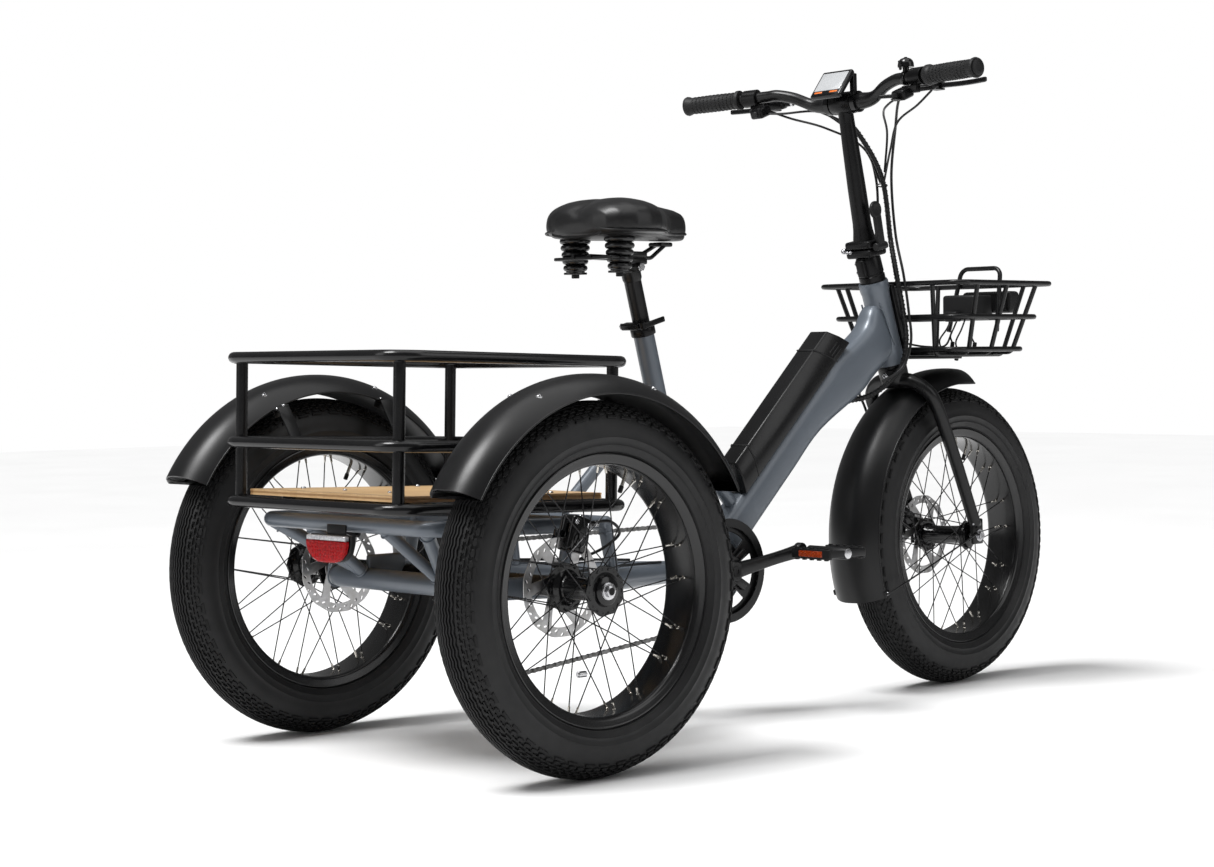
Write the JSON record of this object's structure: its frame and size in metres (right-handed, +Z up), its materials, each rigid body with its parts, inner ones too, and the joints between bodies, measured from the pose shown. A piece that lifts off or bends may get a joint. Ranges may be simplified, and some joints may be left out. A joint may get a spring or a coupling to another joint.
{
  "type": "adult tricycle",
  "caption": "Folding-bar electric adult tricycle: fat-tyred wheels, curved mudguards, railed cargo rack with wooden deck, front basket, disc brakes and down-tube battery.",
  "frame": {"origin": "on the ground, under the middle of the whole machine's bounding box", "axes": "+Z up, the front faces -Y, the rider's left is +X"},
  "size_m": [0.8454, 1.873, 1.206],
  "materials": {
    "frame_paint": "satin slate blue-grey paint",
    "black_paint": "satin black",
    "black_plastic": "satin black",
    "rubber": "matt",
    "tyre": "matt tread, satin sidewall",
    "steel": "brushed",
    "wood": "clear-lacquered bamboo",
    "red_lens": "clear red",
    "saddle_cover": "satin"
  },
  "bodies": {
    "frame": {"main_frame": "frame_paint", "rear_subframe": "frame_paint", "rear_axle": "black_paint", "cargo_rack": "black_paint", "cargo_deck": "wood", "rear_fender_left": "black_plastic", "rear_fender_right": "black_plastic", "rear_left_brake_caliper": "black_paint", "rear_right_brake_caliper": "black_paint", "rear_light": "red_lens", "front_basket": "black_paint", "headlight_housing": "black_plastic", "motor_housing": "black_plastic", "derailleur": "black_paint", "chain": "steel", "seat_clamp_collar": "black_paint", "rear_brake_hose": "rubber", "wiring_harness": "rubber"},
    "steering": {"fork": "black_paint", "stem_base": "black_paint", "front_fender": "black_plastic", "front_brake_caliper": "black_paint", "front_brake_hose": "rubber"},
    "front_wheel": {"front_tyre": "tyre", "front_rim": "black_paint", "front_hub": "black_paint", "front_brake_rotor": "steel"},
    "rear_left_wheel": {"rear_left_tyre": "tyre", "rear_left_rim": "black_paint", "rear_left_hub": "black_paint", "rear_left_brake_rotor": "steel"},
    "rear_right_wheel": {"rear_right_tyre": "tyre", "rear_right_rim": "black_paint", "rear_right_hub": "black_paint", "rear_right_brake_rotor": "steel"},
    "stem": {"folding_stem": "black_paint", "handlebar": "black_paint", "grip_left": "rubber", "grip_right": "rubber", "display": "black_plastic", "brake_master_left": "black_paint", "brake_master_right": "black_paint", "bell": "black_plastic"},
    "fold_lever": {"stem_fold_lever": "black_plastic"},
    "brake_lever_left_body": {"brake_lever_left": "black_paint"},
    "brake_lever_right_body": {"brake_lever_right": "black_paint"},
    "striker": {"bell_striker": "black_plastic"},
    "trigger": {"gear_trigger": "black_plastic"},
    "button": {"assist_button": "rubber"},
    "crankset": {"crank_arm_right": "black_paint", "crank_arm_left": "black_paint", "chainring": "black_paint"},
    "left_pedal": {"pedal_left": "black_plastic"},
    "right_pedal": {"pedal_right": "black_plastic"},
    "cassette": {"rear_sprockets": "steel"},
    "cage": {"derailleur_cage": "black_paint"},
    "seat": {"seat_post": "black_paint"},
    "saddle_top": {"saddle": "saddle_cover"},
    "clamp_lever": {"seat_clamp_lever": "black_paint"},
    "battery_pack": {"battery": "black_plastic"}
  },
  "joints": [
    {"name": "steering", "type": "hinge", "parent": "frame", "child": "steering", "pos_m": [0, -0.4225, 0.798], "axis": [0, 0.309, 0.9511], "range_deg": [-44.7, 35.3], "deforming": ["rear_brake_hose", "wiring_harness"]},
    {"name": "stem_fold", "type": "hinge", "parent": "steering", "child": "stem", "pos_m": [0.03291, -0.39991, 0.85966], "axis": [0.0821, -0.9775, 0.1944], "range_deg": [-90, 0], "deforming": ["front_brake_hose"]},
    {"name": "fold_lever", "type": "hinge", "parent": "stem", "child": "fold_lever", "pos_m": [-0.03911, -0.40157, 0.8635], "axis": [0.0821, -0.9775, 0.1944], "range_deg": [0, 110]},
    {"name": "front_wheel_spin", "type": "hinge", "parent": "steering", "child": "front_wheel", "pos_m": [0.0045, -0.64332, 0.29394], "axis": [0.9966, 0.0786, -0.0255], "continuous": true},
    {"name": "rear_left_wheel_spin", "type": "hinge", "parent": "frame", "child": "rear_left_wheel", "pos_m": [0.362, 0.6425, 0.294], "axis": [1, 0, 0], "continuous": true},
    {"name": "rear_right_wheel_spin", "type": "hinge", "parent": "frame", "child": "rear_right_wheel", "pos_m": [-0.362, 0.6425, 0.294], "axis": [1, 0, 0], "continuous": true},
    {"name": "crank_spin", "type": "hinge", "parent": "frame", "child": "crankset", "pos_m": [0, 0.0385, 0.268], "axis": [1, 0, 0], "continuous": true},
    {"name": "pedal_left_spin", "type": "hinge", "parent": "crankset", "child": "left_pedal", "pos_m": [0.155, 0.20099, 0.23935], "axis": [1, 0, 0], "continuous": true},
    {"name": "pedal_right_spin", "type": "hinge", "parent": "crankset", "child": "right_pedal", "pos_m": [-0.155, -0.12399, 0.29665], "axis": [1, 0, 0], "continuous": true},
    {"name": "sprocket_spin", "type": "hinge", "parent": "frame", "child": "cassette", "pos_m": [0, 0.6425, 0.294], "axis": [1, 0, 0], "continuous": true},
    {"name": "derailleur_cage", "type": "hinge", "parent": "frame", "child": "cage", "pos_m": [0, 0.6485, 0.212], "axis": [1, 0, 0], "range_deg": [-15, 20], "stiffness_Nm_per_rad": 2, "deforming": ["chain"]},
    {"name": "brake_lever_left", "type": "hinge", "parent": "stem", "child": "brake_lever_left_body", "pos_m": [0.20195, -0.36355, 1.1462], "axis": [0.0255, 0.001, 0.9997], "range_deg": [0, 18], "stiffness_Nm_per_rad": 1, "springref_deg": -5.73},
    {"name": "brake_lever_right", "type": "hinge", "parent": "stem", "child": "brake_lever_right_body", "pos_m": [-0.1907, -0.39451, 1.15626], "axis": [0.0255, 0.001, 0.9997], "range_deg": [-18, 0], "stiffness_Nm_per_rad": 1, "springref_deg": 5.73},
    {"name": "bell_striker", "type": "hinge", "parent": "stem", "child": "striker", "pos_m": [-0.16815, -0.31313, 1.1905], "axis": [0.9966, 0.0786, -0.0255], "range_deg": [0, 12], "stiffness_Nm_per_rad": 0.05, "springref_deg": -2.86},
    {"name": "gear_trigger", "type": "hinge", "parent": "stem", "child": "trigger", "pos_m": [-0.17342, -0.29081, 1.1317], "axis": [0.0255, 0.001, 0.9997], "range_deg": [-20, 0], "stiffness_Nm_per_rad": 0.1, "springref_deg": 2.86},
    {"name": "assist_button", "type": "slide", "parent": "stem", "child": "button", "axis": [-0.0826, 0.9364, -0.341], "range_m": [-0.0015, 0], "stiffness_N_per_m": 500, "springref_m": 0.0005},
    {"name": "seat_height", "type": "slide", "parent": "frame", "child": "seat", "axis": [0, 0.2588, 0.9659], "range_m": [-0.08, 0.06]},
    {"name": "saddle_springs", "type": "hinge", "parent": "seat", "child": "saddle_top", "pos_m": [0, 0.1425, 0.86], "axis": [1, 0, 0], "range_deg": [-4, 0], "stiffness_Nm_per_rad": 1500, "springref_deg": 0.29},
    {"name": "seat_clamp_lever", "type": "hinge", "parent": "frame", "child": "clamp_lever", "pos_m": [-0.029, 0.2145, 0.7095], "axis": [0, 0.2588, 0.9659], "range_deg": [-150, 0]},
    {"name": "battery_release", "type": "slide", "parent": "frame", "child": "battery_pack", "axis": [0, 0.6984, 0.7157], "range_m": [0, 0.1]}
  ],
  "couplings": [
    {"joint": "sprocket_spin", "follows": "crank_spin", "ratio": 1.5714}
  ]
}
